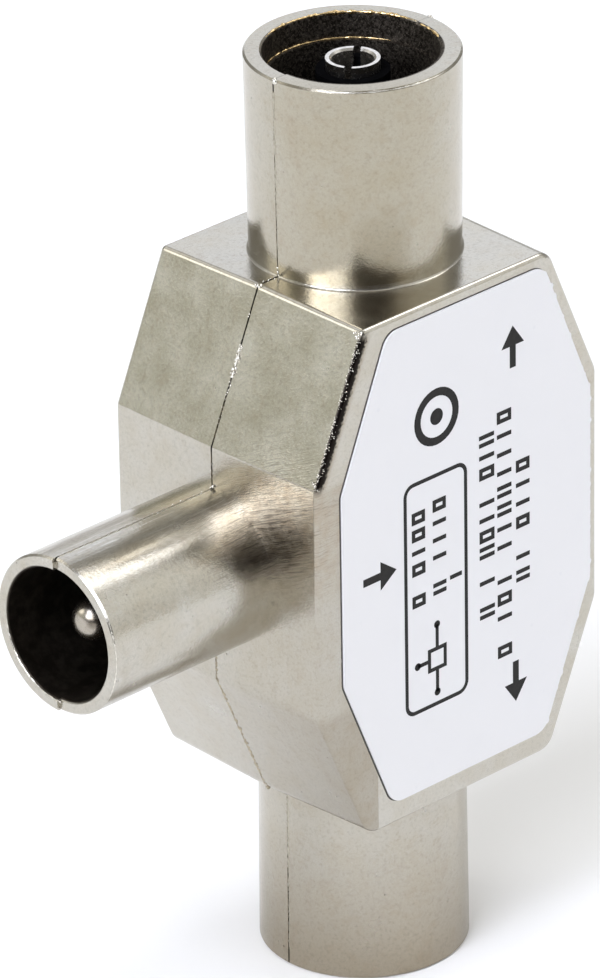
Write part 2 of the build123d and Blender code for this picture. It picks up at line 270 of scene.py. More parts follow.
def paintedShadeBase(tree, base, point, leftFace, blotch):
    shaded = paintedShade
    x, y, z = splitPoint(tree, point)
    rise = calculate(tree, "SUBTRACT", z, middle.z)
    front = spread(tree, y, 1, 0, *metres(shaded["frontward"]))
    chamfer = spread(tree, rise, 1, shaded["chamferShare"], *metres(shaded["chamfer"]))
    base = blend(tree, product(tree, leftFace, front, chamfer), base, shaded["leftColor"], "MULTIPLY")

    neckFacing = weightedSum(tree, x, shaded["neckToward"][0], y, shaded["neckToward"][1])
    onNeck = product(tree, spread(tree, neckFacing, shaded["neckShare"], 1, *metres(shaded["neckReach"])),
                     spread(tree, rise, 0, 1, *metres(shaded["neckFoot"])))
    base = blend(tree, onNeck, base, shaded["neckColor"], "MULTIPLY")

    towardRoot = weightedSum(tree, x, shaded["rootToward"][0], y, shaded["rootToward"][1])
    onRoot = product(tree, spread(tree, towardRoot, 0, 1, *metres(shaded["rootReach"])),
                     spread(tree, rise, 1, 0, *metres(shaded["rootTop"])),
                     calculate(tree, "GREATER_THAN", rise, shaded["rootFoot"] * mm))
    base = blend(tree, onRoot, base, shaded["rootColor"], "MULTIPLY")

    foot = product(tree, spread(tree, z, *shaded["footShares"], 0, shaded["footReach"] * mm),
                   spread(tree, blotch, *shaded["footBlotch"]),
                   calculate(tree, "LESS_THAN", z, shaded["footTop"] * mm))
    return blend(tree, foot, base, shaded["footColor"], "MULTIPLY")


def rootMarks(tree, base, point, leftFace, cloud):
    finish, marks = castingFinish, plugMarks
    scratch = streakField(tree, point, metres(marks["scratchSizes"]), marks["scratchTurn"], 3)
    away = distanceTo(tree, point, metres(marks["scratchAt"]))
    nearRoot = spread(tree, away, 1, 0, *metres(marks["scratchReach"]))
    stained = product(tree, spread(tree, cloud, *marks["stained"]), nearRoot, leftFace)
    base = blend(tree, stained, base, finish["stain"])
    scratched = product(tree, spread(tree, scratch, *marks["scratched"]), nearRoot)
    base = blend(tree, scratched, base, finish["speck"])

    # the smudge: partly wear, partly painted dark reflection beside the plug's root
    fromSmudgeAndShade = distanceTo(tree, point, metres(marks["smudgeAndShadeAt"]))
    darkened = product(tree, spread(tree, fromSmudgeAndShade, 1, 0, *metres(marks["smudgeAndShadeReach"])),
                      spread(tree, scratch, *marks["smudgeAndShadeScratch"]),
                      spread(tree, cloud, *marks["smudgeAndShadeCloud"]))
    return blend(tree, darkened, base, marks["smudgeAndShade"]), product(tree, scratch, nearRoot)


def plugStreaks(tree, base, point, x, z):
    finish, marks = castingFinish, plugMarks
    streak = streakField(tree, point, metres(marks["streakSizes"]))
    onPlug = product(tree, spread(tree, z, 0, 1, *metres(marks["streakAbove"])),
                     calculate(tree, "LESS_THAN", x, marks["streakEnd"] * mm))
    dark = product(tree, spread(tree, streak, *marks["streakDark"]), onPlug)
    bright = product(tree, spread(tree, streak, *marks["streakBright"]), onPlug)
    return blend(tree, bright, blend(tree, dark, base, finish["stain"]), finish["rub"])


def castingMaterial():
    finish = castingFinish
    material, tree, shader = newMaterial("nickelCasting")
    point = objectPoint(tree)
    x, y, z = splitPoint(tree, point)
    rise = calculate(tree, "SUBTRACT", z, middle.z)
    sizes = (("blotch", 4), ("cloud", 3), ("grain", 2), ("fine", 1))
    blotch, cloud, grain, fine = (noiseField(tree, point, finish[name], detail) for name, detail in sizes)
    base = blend(tree, spread(tree, blotch, 0, 1), finish["warm"], finish["cool"])
    base = blend(tree, spread(tree, cloud, *finish["stained"]), base, finish["stain"])
    base = blend(tree, spread(tree, grain, *finish["specked"]), base, finish["speck"])
    base = blend(tree, spread(tree, fine, *finish["rubbed"]), base, finish["rub"])

    spots = spotField(tree, point, finish["pitSpacing"])
    pits = product(tree, spread(tree, spots, 1, 0, *finish["pitRadius"]),
                   spread(tree, blotch, *finish["pitBlotch"]), spread(tree, cloud, *finish["pitCloud"]))
    base = blend(tree, pits, base, finish["speck"])

    leftFace = leftFaceMask(tree, x, y, rise)
    # painted shade on the left face, the top tube and the lower tube's foot
    base = paintedShadeBase(tree, base, point, leftFace, blotch)
    base, scratches = rootMarks(tree, base, point, leftFace, cloud)
    base = plugStreaks(tree, base, point, x, z)
    # painted dark reflection, with a brown fringe, along the upper left chamfer's front edge
    dark, brown = edgeReflectionMasks(tree, x, y, rise, grain)
    base = blend(tree, brown, base, paintedEdgeReflection["brown"])
    base = blend(tree, dark, base, paintedEdgeReflection["dark"])
    base = blend(tree, seamDirtMask(tree, x, y, rise, cloud), base, seamDirt["color"])

    # painted shade on the walls inside the sockets and the plug, with lighter haze and specks
    bore = paintedBoreShade
    inSocket, inPlug = boreMasks(tree, x, y, rise)
    socketWall = blend(tree, spread(tree, grain, *bore["socketHazed"]), bore["dark"], bore["socketHaze"])
    socketWall = blend(tree, spread(tree, fine, *bore["socketSparked"]), socketWall, bore["socketSpark"])
    plugWall = blend(tree, spread(tree, cloud, *bore["plugHazed"]), bore["dark"], bore["plugHaze"])
    base = blend(tree, inPlug, blend(tree, inSocket, base, socketWall), plugWall)
    link(tree, base, shader.inputs["Base Color"])
    shader.inputs["Metallic"].default_value = 1.0

    low, high = finish["roughness"]
    pitted = product(tree, pits, finish["pitRoughness"])
    inBore = product(tree, calculate(tree, "MAXIMUM", inSocket, inPlug), bore["roughness"] - low)
    added = calculate(tree, "ADD", pitted, inBore)
    link(tree, calculate(tree, "ADD", spread(tree, blotch, low, high), added), shader.inputs["Roughness"])

    outsidePits = calculate(tree, "SUBTRACT", 1.0, pits)
    heights = (("waveBump", cloud), ("fineBump", fine), ("grainBump", grain), ("scratchBump", scratches),
               ("pitBump", outsidePits))
    normal = None
    for name, height in heights:
        normal = addBump(tree, shader, height, *finish[name], normal)
    return material


contactFinish = {
    "color": (0.74, 0.71, 0.66), "darker": 0.8, "scratch": 0.25 * mm, "roughness": (0.16, 0.30),
    "bump": (0.004 * mm, 0.4),
}


def contactMaterial():
    finish = contactFinish
    material, tree, shader = newMaterial("contactNickel")
    point = objectPoint(tree)
    marks = noiseField(tree, point, finish["scratch"], 3)
    darker = tuple(finish["darker"] * c for c in finish["color"])
    base = blend(tree, spread(tree, marks, 0, 1), finish["color"], darker)
    link(tree, base, shader.inputs["Base Color"])
    shader.inputs["Metallic"].default_value = 1.0
    low, high = finish["roughness"]
    link(tree, spread(tree, marks, low, high), shader.inputs["Roughness"])
    addBump(tree, shader, marks, *finish["bump"])
    return material


pinFinish = {
    "color": (0.44, 0.40, 0.34), "smudgeAndShade": (0.17, 0.145, 0.11), "darkened": (0, 0.2, 0.45, 0.75),
    "mark": 0.4 * mm, "roughness": (0.22, 0.30), "bump": (0.003 * mm, 0.4),
    "paintedDarkReflection": (-21.3, -0.75, 28.3), "spotReach": (0.22, 0.45), "spotShare": 0.8,
}


def pinMaterial():
    finish = pinFinish
    material, tree, shader = newMaterial("pinNickel")
    point = objectPoint(tree)
    marks = noiseField(tree, point, finish["mark"], 3)
    base = blend(tree, spread(tree, marks, *finish["darkened"]), finish["color"], finish["smudgeAndShade"])
    # painted dark reflection on the pin's ball, in the smudge colour
    away = distanceTo(tree, point, metres(finish["paintedDarkReflection"]))
    spot = spread(tree, away, finish["spotShare"], 0, *metres(finish["spotReach"]))
    link(tree, blend(tree, spot, base, finish["smudgeAndShade"]), shader.inputs["Base Color"])
    shader.inputs["Metallic"].default_value = 1.0
    low, high = finish["roughness"]
    link(tree, spread(tree, marks, low, high), shader.inputs["Roughness"])
    addBump(tree, shader, marks, *finish["bump"])
    return material


def plainMaterial(name, color, variation, size, roughness, metallic=0.0, bumpDepth=0.01, specular=0.5):
    material, tree, shader = newMaterial(name)
    field = noiseField(tree, objectPoint(tree), size * mm, 3)  # size and bumpDepth are in millimetres
    other = tuple(min(1, c * (1 + variation)) for c in color)
    link(tree, blend(tree, spread(tree, field, 0, 1), color, other), shader.inputs["Base Color"])
    shader.inputs["Metallic"].default_value = metallic
    shader.inputs["Specular IOR Level"].default_value = specular
    link(tree, spread(tree, field, roughness * 0.85, roughness * 1.15), shader.inputs["Roughness"])
    addBump(tree, shader, field, bumpDepth * mm, 0.5)
    return material


labelFinish = {
    "film": (0.775, 0.772, 0.785), "smear": (0.71, 0.715, 0.74), "smeared": (0, 0.12, 0.5, 0.8),
    "patch": 1.6 * mm, "dotSpacing": 2.1 * mm, "dotRadius": (0.03, 0.08), "dotShare": 0.5,
    "roughness": (0.30, 0.38), "bump": (0.006 * mm, 0.5),
}


def labelMaterial():
    finish = labelFinish
    material, tree, shader = newMaterial("labelFilm")
    point = objectPoint(tree)
    patch = noiseField(tree, point, finish["patch"], 3)
    base = blend(tree, spread(tree, patch, *finish["smeared"]), finish["film"], finish["smear"])
    spots = spotField(tree, point, finish["dotSpacing"])
    dots = spread(tree, spots, finish["dotShare"], 0, *finish["dotRadius"])
    link(tree, blend(tree, dots, base, finish["smear"]), shader.inputs["Base Color"])
    low, high = finish["roughness"]
    link(tree, spread(tree, patch, low, high), shader.inputs["Roughness"])
    addBump(tree, shader, patch, *finish["bump"])
    return material


metalLook = castingMaterial()
labelLook = labelMaterial()
inkLook = plainMaterial("blackInk", (0.013, 0.012, 0.011), 0.8, 0.2, 0.45, specular=0.15)
# dark line of painted shade round the label's edge
labelEdgeShadeLook = plainMaterial("darkEdgeLine", (0.03, 0.027, 0.022), 0.9, 0.15, 0.6)
beadLook = plainMaterial("brightPlating", (0.80, 0.77, 0.69), -0.25, 0.12, 0.14, 1.0, 0.012)
# golden metal whose colour paints a golden tint into the rims' glints
goldenBurrLook = plainMaterial("goldenBurr", (0.66, 0.49, 0.25), 0.4, 0.15, 0.22, 1.0, 0.012)
platingLook = plainMaterial("seamPlating", (0.27, 0.235, 0.175), 1.0, 0.2, 0.34, 1.0, 0.012)
tubePlatingLook = plainMaterial("tubeSeamPlating", (0.37, 0.34, 0.275), 0.5, 0.25, 0.3, 1.0, 0.008)
nodeMaterials = {
    "front_shell": metalLook,
    "plug_pin": pinMaterial(),
    "upper_contact": contactMaterial(),
    "plug_insulator": plainMaterial("blackPlastic", (0.0025, 0.0025, 0.0028), 0.6, 0.5, 0.7, specular=0.0),
    "label": labelLook,
    "circuit_board": plainMaterial("boardLaminate", (0.05, 0.20, 0.09), 0.3, 0.8, 0.45),
    "matching_core": plainMaterial("ferrite", (0.05, 0.05, 0.052), 0.5, 0.3, 0.7),
    "matching_winding": plainMaterial("copperWire", (0.62, 0.25, 0.10), 0.2, 0.4, 0.3, 1.0),
    "input_capacitor": plainMaterial("chipCeramic", (0.42, 0.32, 0.20), 0.2, 0.3, 0.5),
    "input_solder": plainMaterial("solder", (0.72, 0.72, 0.72), -0.2, 0.3, 0.3, 1.0),
}
sameAs = {
    "rear_shell": "front_shell", "lower_contact": "upper_contact",
    "upper_insulator": "plug_insulator", "lower_insulator": "plug_insulator",
    "splitter_core": "matching_core", "splitter_winding": "matching_winding",
    "isolation_resistor": "input_capacitor", "upper_capacitor": "input_capacitor",
    "lower_capacitor": "input_capacitor", "upper_solder": "input_solder", "lower_solder": "input_solder",
    "chip_solder": "input_solder",
}
for name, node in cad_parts.items():
    node.data.materials.clear()
    node.data.materials.append(nodeMaterials[sameAs.get(name, name)])
print("materials set on", len(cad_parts), "nodes")


# Pieces that the scene adds

def addPiece(name, bm, material, smooth=True):
    bmesh.ops.recalc_face_normals(bm, faces=bm.faces[:])
    mesh = bpy.data.meshes.new(name)
    bm.to_mesh(mesh)
    bm.free()
    for face in mesh.polygons:
        face.use_smooth = smooth
    piece = bpy.data.objects.new(name, mesh)
    piece.data.materials.append(material)
    bpy.context.scene.collection.objects.link(piece)
    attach(piece, rootBody)


def bodyPoint(x, y, z):
    return Vector((x * mm, y * mm, middle.z + z * mm))  # millimetres from the body's middle


def addPlate(bm, points, back, front):
    rings = [[bm.verts.new((x, y, z)) for x, z in points] for y in (back, front)]
    for ring in rings:
        bm.faces.new(ring)
    for index in range(len(points)):
        follow = (index + 1) % len(points)
        bm.faces.new((rings[0][index], rings[0][follow], rings[1][follow], rings[1][index]))


def addBand(bm, outer, inner, back, front):
    backOuter, backInner, frontOuter, frontInner = (
        [bm.verts.new((x, y, z)) for x, z in points] for y in (back, front) for points in (outer, inner))
    pairs = ((backOuter, backInner), (frontOuter, frontInner),
             (backOuter, frontOuter), (backInner, frontInner))
    for index in range(len(outer)):
        follow = (index + 1) % len(outer)
        for first, second in pairs:
            bm.faces.new((first[index], first[follow], second[follow], second[index]))


def addTube(bm, rings):
    sides = len(rings[0])
    for first, second in zip(rings, rings[1:]):
        for side in range(sides):
            follow = (side + 1) % sides
            bm.faces.new((first[side], first[follow], second[follow], second[side]))
    bm.faces.new(rings[0])
    bm.faces.new(rings[-1])


def circlePoints(x, z, radius, steps):
    angles = [radians(360 * step / steps) for step in range(steps)]
    return [(x + radius * cos(angle), z + radius * sin(angle)) for angle in angles]


def roundedCorners(points, radius, steps=6):
    rounded = []
    for index in range(len(points)):
        here, before, after = (Vector(points[i % len(points)]) for i in (index, index - 1, index + 1))
        toBefore, toAfter = (before - here).normalized(), (after - here).normalized()
        half = toBefore.angle(toAfter) / 2
        centre = here + (toBefore + toAfter).normalized() * radius / sin(half)
        start = here + toBefore * radius * cos(half) / sin(half) - centre
        end = here + toAfter * radius * cos(half) / sin(half) - centre
        for step in range(steps + 1):
            arm = start.slerp(end, step / steps).normalized() * radius
            rounded.append(tuple(centre + arm))
    return rounded


labelEdge = {
    "cutX": 3.7 * mm, "cutZ": 8.8 * mm, "round": 1.2 * mm, "steps": 8, "longest": 0.14 * mm,
    "line": 0.10 * mm, "lineProud": 0.012 * mm, "overlap": 0.02 * mm, "lineLeast": 0.06,
    "lineShares": (0.45, -0.9, 0.3), "fray": 0.17 * mm, "frayProud": 0.07 * mm, "fraySize": 0.45 * mm,
    "frayWander": (1.4, 0.3), "frayShares": (1.4, -0.2), "frayInset": 0.004 * mm,
}


def labelOutline():
    left, right, low, high = labelLow.x, labelHigh.x, labelLow.z, labelHigh.z
    cutX, cutZ = labelEdge["cutX"], labelEdge["cutZ"]
    corners = [
        (left + cutX, low), (right - cutX, low), (right, low + cutZ), (right, high - cutZ),
        (right - cutX, high), (left + cutX, high), (left, high - cutZ), (left, low + cutZ),
    ]
    rounded = roundedCorners(corners, labelEdge["round"], labelEdge["steps"])
    outline = []
    for index, point in enumerate(rounded):  # long sides are divided, so that their edge can wander
        here, follow = Vector(point), Vector(rounded[(index + 1) % len(rounded)])
        parts = max(1, ceil((follow - here).length / labelEdge["longest"]))
        outline += [here.lerp(follow, part / parts) for part in range(parts)]
    return outline


def outwardNormals(outline):
    normals = []
    for index in range(len(outline)):
        along = outline[(index + 1) % len(outline)] - outline[index - 1]
        normals.append(Vector((along.y, -along.x)).normalized())
    return normals


def addLabelEdge():
    edge = labelEdge
    outline = labelOutline()
    normals = outwardNormals(outline)
    face = labelHigh.y  # the body's front face, on which the label lies
    back = face + edge["overlap"]
    inner = [tuple(p - n * edge["overlap"]) for p, n in zip(outline, normals)]

    # painted shade along the label's edge: a dark line, widest on the left and upper edges
    darkLine = bmesh.new()
    plain, rightward, upward = edge["lineShares"]  # widest on the left and upper edges
    outer = []
    for p, n in zip(outline, normals):
        share = min(1, max(edge["lineLeast"], plain + rightward * n.x + upward * n.y))
        outer.append(tuple(p + n * (edge["line"] * share)))
    addBand(darkLine, outer, inner, back, face - edge["lineProud"])
    addPiece("label_dark_line", darkLine, labelEdgeShadeLook, smooth=False)

    fray = bmesh.new()
    swing, base = edge["frayWander"]
    rightward, upward = edge["frayShares"]  # only on the right edges
    ragged = []
    for p, n in zip(outline, normals):
        wander = swing * noise.noise(Vector((p.x, 0, p.y)) / edge["fraySize"]) + base
        onRight = min(1, max(0, rightward * n.x + upward * n.y))
        ragged.append(tuple(p + n * (edge["fray"] * max(0, wander) * onRight - edge["frayInset"])))
    addBand(fray, ragged, inner, back, face - edge["frayProud"])
    addPiece("label_frayed_edge", fray, labelLook, smooth=False)


addLabelEdge()

labelPrint = {  # plain printed marks, in millimetres from the body's middle
    "proud": 0.006, "sunk": 0.02, "line": 0.25, "stroke": 0.27, "seed": 7,
    "frame": (-4.6, -9.4, 0.42, 5.25), "frameRound": 0.75,
    "ring": (-1.95, 8.75), "ringRadius": 1.75, "ringLine": 0.5, "ringSteps": 32, "dot": 0.5, "dotSteps": 24,
    "arrows": ((-6.5, 0.4, 0), (4.1, 11.0, 90), (4.25, -10.25, -90)),  # x, z, turn in degrees
    "arrowLength": 2.6, "arrowHead": 1.25, "arrowWidth": 1.8, "arrowLine": 0.48,
    "rows": (  # x, lowest z, marks in each group, pitch, width
        (1.98, -4.95, (1, 1, 4, 3), 1.03, 1.2), (3.38, -7.95, (1, 3, 8), 1.17, 1.15),
        (4.86, -3.6, (2, 4), 1.19, 1.1), (-3.45, -2.25, (1, 4), 1.08, 1.05),
        (-1.8, -2.0, (1, 4), 1.08, 1.05), (-0.52, -1.7, (1,), 1.0, 0.95),
    ),
    "square": 0.76, "pairGap": 0.24, "groupGap": 0.85,
    "diagram": (-2.05, -6.4), "diagramBox": 1.5, "diagramDot": 0.24, "diagramSteps": 12,
    "diagramEnds": ((-1, 0, 1.55), (0, 1, 2.15), (0, -1, 2.15)),  # toward x and z, and how far
}


def strokePoints(start, end, width):
    start, end = Vector(start), Vector(end)
    along = (end - start).normalized()
    side = Vector((-along.y, along.x)) * width / 2
    return [tuple(start + side), tuple(start - side), tuple(end - side), tuple(end + side)]


def boxPoints(x, z, width, height):
    return [(x - width / 2, z - height / 2), (x + width / 2, z - height / 2),
            (x + width / 2, z + height / 2), (x - width / 2, z + height / 2)]


def arrowPoints(x, z, turn):
    keys = ("arrowLength", "arrowHead", "arrowWidth", "arrowLine")
    length, head, width, line = (labelPrint[key] for key in keys)
    shaftEnd = length / 2 - head
    plain = [
        (-length / 2, -line / 2), (shaftEnd, -line / 2), (shaftEnd, -width / 2), (length / 2, 0),
        (shaftEnd, width / 2), (shaftEnd, line / 2), (-length / 2, line / 2),
    ]
    c, s = cos(radians(turn)), sin(radians(turn))
    return [(x + c * px - s * pz, z + s * px + c * pz) for px, pz in plain]


def addLabelPrint():
    bm = bmesh.new()
    marks = labelPrint
    front = labelLow.y - marks["proud"] * mm
    back = labelLow.y + marks["sunk"] * mm

    def placed(points):
        return [(x * mm, middle.z + z * mm) for x, z in points]

    def plate(points):
        addPlate(bm, placed(points), back, front)

    def band(outer, inner):
        addBand(bm, placed(outer), placed(inner), back, front)

    def box(x, z, width, height, line):
        band(boxPoints(x, z, width, height), boxPoints(x, z, width - 2 * line, height - 2 * line))

    left, low, right, high = marks["frame"]
    line, stroke, radius = marks["line"], marks["stroke"], marks["frameRound"]
    centre = ((left + right) / 2, (low + high) / 2)
    width, height = right - left, high - low
    band(roundedCorners(boxPoints(*centre, width, height), radius),
         roundedCorners(boxPoints(*centre, width - 2 * line, height - 2 * line), radius - line))

    radius, steps = marks["ringRadius"], marks["ringSteps"]
    band(circlePoints(*marks["ring"], radius, steps),
         circlePoints(*marks["ring"], radius - marks["ringLine"], steps))
    plate(circlePoints(*marks["ring"], marks["dot"], marks["dotSteps"]))
    for x, z, turn in marks["arrows"]:
        plate(arrowPoints(x, z, turn))

    draw = Random(marks["seed"])
    aside = {"bar": (0,), "pair": (-marks["pairGap"], marks["pairGap"]), "square": ()}
    for x, z, groups, pitch, width in marks["rows"]:
        for count in groups:
            for _ in range(count):
                form = draw.choice(("bar", "pair", "square"))
                if form == "square":
                    box(x, z, width, marks["square"], stroke)
                for offset in aside[form]:
                    plate(boxPoints(x, z + offset, width, stroke))
                z += pitch
            z += pitch * marks["groupGap"]

    x, z = marks["diagram"]
    size = marks["diagramBox"]
    box(x, z, size, size, line)
    for rightward, upward, reach in marks["diagramEnds"]:
        start = (x + rightward * size / 2, z + upward * size / 2)
        end = (x + rightward * reach, z + upward * reach)
        plate(strokePoints(start, end, line))
        plate(circlePoints(*end, marks["diagramDot"], marks["diagramSteps"]))
    addPiece("label_print", bm, inkLook, smooth=False)


addLabelPrint()
print("label edge and print made")

beadShape = {"stretch": (0.7, 1.35), "lump": 0.5, "lumpSize": 0.05 * mm}
seamBeads = {  # bright lumps of plating along the seam, in millimetres from the body's middle
    "seed": 3, "aside": 0.07, "overhang": 0.8, "stretches": (  # from, to, how many, smallest and largest
        ((-6.0, 16.05), (-5.95, 16.6), 3, 0.05, 0.09), ((-7.15, 16.02), (-6.1, 16.02), 6, 0.03, 0.06),
        ((-7.62, 15.92), (-7.42, 16.0), 5, 0.07, 0.13), ((-8.3, 14.3), (-8.2, 14.5), 2, 0.05, 0.07),
        ((-9.72, 11.05), (-8.95, 12.8), 34, 0.04, 0.12), ((-10.25, 9.85), (-9.8, 10.85), 9, 0.03, 0.06),
        ((-10.9, 8.4), (-10.4, 9.5), 4, 0.02, 0.04), ((-11.45, 5.3), (-11.42, 6.7), 4, 0.02, 0.04),
        ((-11.52, 4.8), (-11.42, 5.0), 3, 0.07, 0.11), ((-22.9, 4.76), (-12.0, 4.76), 46, 0.02, 0.045),
        ((-6.14, 27.85), (-6.05, 27.98), 3, 0.09, 0.15), ((6.05, 27.95), (6.14, 27.9), 2, 0.08, 0.12),
        ((-23.3, 4.66), (-23.26, 4.74), 2, 0.07, 0.1), ((-23.34, -4.2), (-23.3, -4.1), 2, 0.06, 0.09),
        ((-11.4, -7.3), (-11.38, -5.2), 5, 0.02, 0.04), ((-10.9, -8.2), (-7.7, -15.6), 30, 0.02, 0.05),
    ),
}


def addBead(bm, place, size, draw):
    stretch = Matrix.Diagonal((*(size * draw.uniform(*beadShape["stretch"]) for _ in range(3)), 1))
    turn = Matrix.Rotation(draw.uniform(0, pi), 4, Vector((draw.random(), draw.random(), 1)).normalized())
    matrix = Matrix.Translation(place) @ turn @ stretch
    made = bmesh.ops.create_icosphere(bm, subdivisions=2, radius=1.0, matrix=matrix)
    for vert in made["verts"]:
        vert.co += (vert.co - place) * beadShape["lump"] * noise.noise(vert.co / beadShape["lumpSize"])


def addSeamBeads():
    bm = bmesh.new()
    draw = Random(seamBeads["seed"])
    for start, end, count, smallest, largest in seamBeads["stretches"]:
        for index in range(count):
            along = (index + draw.uniform(0.1, 0.9)) / count
            x, z = (a + (b - a) * along for a, b in zip(start, end))
            size = draw.uniform(smallest, largest)
            y = draw.uniform(-1, 1) * (seamBeads["aside"] + size * seamBeads["overhang"])
            addBead(bm, bodyPoint(x, y, z), size * mm, draw)
    addPiece("seam_beads", bm, beadLook)


addSeamBeads()

chamferEdgeGrains = {  # bright grains along the edge that holds the painted dark reflection, in millimetres, from its top corner to its left one
    "from": (-7.536, -7.93, 15.5), "to": (-11.155, -7.93, 7.3), "inward": (0.915, 0, -0.404), "round": 0.3,
    "count": 230, "sizes": (0.014, 0.04), "seed": 11, "out": 0.27, "crowding": 2.2, "clump": (0.5, 1, 2),
    "corners": (  # middle, how many, sizes, reach
        ((-7.56, -7.84, 15.55), 8, (0.07, 0.13), 0.16), ((-11.1, -7.95, 7.45), 4, (0.05, 0.09), 0.12),
    ),
}


def addChamferEdgeGrains():
    bm = bmesh.new()
    edge = chamferEdgeGrains
    draw = Random(edge["seed"])
    start, end, inward = (Vector(edge[key]) for key in ("from", "to", "inward"))
    for _ in range(edge["count"]):
        out = edge["out"] * draw.random() ** edge["crowding"]  # most lie on the chamfer's side
        depth = edge["round"] - (edge["round"] ** 2 - out ** 2) ** 0.5
        place = start.lerp(end, draw.random()) + inward * depth - Vector((0, out, 0))
        addBead(bm, bodyPoint(*place), draw.uniform(*edge["sizes"]) * mm, draw)
    for centre, count, sizes, reach in edge["corners"]:
        for _ in range(count):
            away = Vector([draw.uniform(-reach, reach) for _ in range(3)]) * Vector(edge["clump"])
            addBead(bm, bodyPoint(*(Vector(centre) + away)), draw.uniform(*sizes) * mm, draw)
    addPiece("chamfer_edge_grains", bm, beadLook)


addChamferEdgeGrains()

seamPlating = {  # plating that bridges the seam, in millimetres
    "depth": 0.16, "step": 0.06, "size": 0.15, "offset": -0.025,
    "lump": (0.5, 0.8), "width": (0.5, 1.1, 1.2),
    "bodyCrown": 0.03, "bodyRuns": (  # from, to, lowest and highest ridge, half width
        ((-11.376, 6.9), (-11.376, 4.95), -0.09, 0.01, 0.05),
        ((-10.1, 10.17), (-11.2, 7.68), -0.12, 0.01, 0.05),
        ((-11.376, -4.95), (-11.376, -7.2), -0.02, 0.05, 0.08),
        ((-11.376, -7.28), (-7.6, -15.83), -0.02, 0.07, 0.10),
    ),
    "tubeCrown": 0.006, "tubeRuns": (
        ((-22.95, 4.75), (-11.45, 4.75), 0.002, 0.014, 0.05),
        ((-11.45, -4.75), (-22.95, -4.75), 0.002, 0.014, 0.045),
        ((-6.012, -16.2), (-6.08, -21.6), 0.0, 0.014, 0.05),
        ((-6.08, -21.62), (-6.125, -27.0), -0.05, 0.008, 0.045),
        ((-6.15, 27.2), (-6.012, 16.3), -0.016, 0.01, 0.045),
    ),
}


def addSeamPlating(name, runs, crown, material):
    bm = bmesh.new()
    plating = seamPlating
    middleLump, swing = plating["lump"]
    narrow, widening, widest = plating["width"]
    bottom = -plating["depth"]
    for start, end, lowest, highest, halfWidth in runs:
        start, end = Vector(start), Vector(end)
        along = (end - start).normalized()
        outward = Vector((along.y, -along.x))
        if outward.dot(start) < 0:
            outward.negate()
        count = int((end - start).length / plating["step"])
        rings = []
        for index in range(count + 1):
            x, z = start.lerp(end, index / count)
            lump = middleLump + swing * noise.noise(Vector((x, 0, z)) / plating["size"])
            ridge = lowest + (highest - lowest) * min(1, max(0, lump))
            half = halfWidth * (narrow + widening * min(widest, max(0, lump)))
            side = ridge - crown
            section = ((-half, side), (0, ridge), (half, side), (half, bottom), (-half, bottom))
            places = (bodyPoint(x + outward.x * up, y + plating["offset"], z + outward.y * up)
                      for y, up in section)
            rings.append([bm.verts.new(place) for place in places])
        addTube(bm, rings)
    addPiece(name, bm, material)


addSeamPlating("seam_plating", seamPlating["bodyRuns"], seamPlating["bodyCrown"], platingLook)
addSeamPlating("tube_seam_plating", seamPlating["tubeRuns"], seamPlating["tubeCrown"], tubePlatingLook)

rimBurr = {  # thin uneven burr on the rims' edges, in millimetres
    "step": 1.5, "sides": 6, "size": 0.22, "endSlope": 8, "least": 0.08, "rough": (0.35, 1.1, 0.35),
    "socketAxes": ((1, 0, 0), (0, 1, 0), (0, 0, 1)), "plugAxes": ((0, 1, 0), (0, 0, 1), (1, 0, 0)),
    "goldenArcs": (  # radius, place along the axis, from, to, thickness
        (5.13, 27.95, 2, 116, 0.12), (5.0, 27.95, -30, -2, 0.09), (5.05, 26.42, 20, 152, 0.075),
    ),
    "socketArcs": ((6.07, 27.93, 205, 283, 0.06),),
    "plugArcs": ((4.06, -23.42, -95, 2, 0.055), (4.7, -23.2, 150, 215, 0.04)),
}


def addBurrArc(bm, axes, arc):
    burr = rimBurr
    level, upright, axis = (Vector(direction) for direction in axes)
    radius, along, start, end, thick = arc
    count = int(abs(end - start) / burr["step"])
    smooth, swing, lift = burr["rough"]
    rings = []
    for index in range(count + 1):
        angle = radians(start + (end - start) * index / count)
        outward = level * cos(angle) + upright * sin(angle)
        centre = middle + (outward * radius + axis * along) * mm
        fade = min(1, burr["endSlope"] * index / count, burr["endSlope"] * (count - index) / count)
        rough = smooth + swing * max(0, noise.noise(centre / (burr["size"] * mm)) + lift)
        width = thick * mm * max(burr["least"], fade * rough)
        turns = [2 * pi * side / burr["sides"] for side in range(burr["sides"])]
        places = (centre + (outward * cos(turn) + axis * sin(turn)) * width for turn in turns)
        rings.append([bm.verts.new(place) for place in places])
    addTube(bm, rings)


def addRimBurrs(name, material, *kinds):
    bm = bmesh.new()
    for axesKey, arcsKey in kinds:
        for arc in rimBurr[arcsKey]:
            addBurrArc(bm, rimBurr[axesKey], arc)
    addPiece(name, bm, material)


# the golden colour on these burrs paints a golden tint into the rim's glints
addRimBurrs("golden_rim_burrs", goldenBurrLook, ("socketAxes", "goldenArcs"))
addRimBurrs("rim_burrs", beadLook, ("socketAxes", "socketArcs"), ("plugAxes", "plugArcs"))
print("seam beads and rim burrs made")


# Camera, as the photo was taken

photoCamera = {
    "azimuth": -43.623, "elevation": 26.575, "roll": -0.977, "distance": 465.099 * mm,
    "aside": -3.342 * mm, "above": 0.565 * mm, "focal": 300.56, "sensor": 36.0, "clip": (0.01, 10),
}


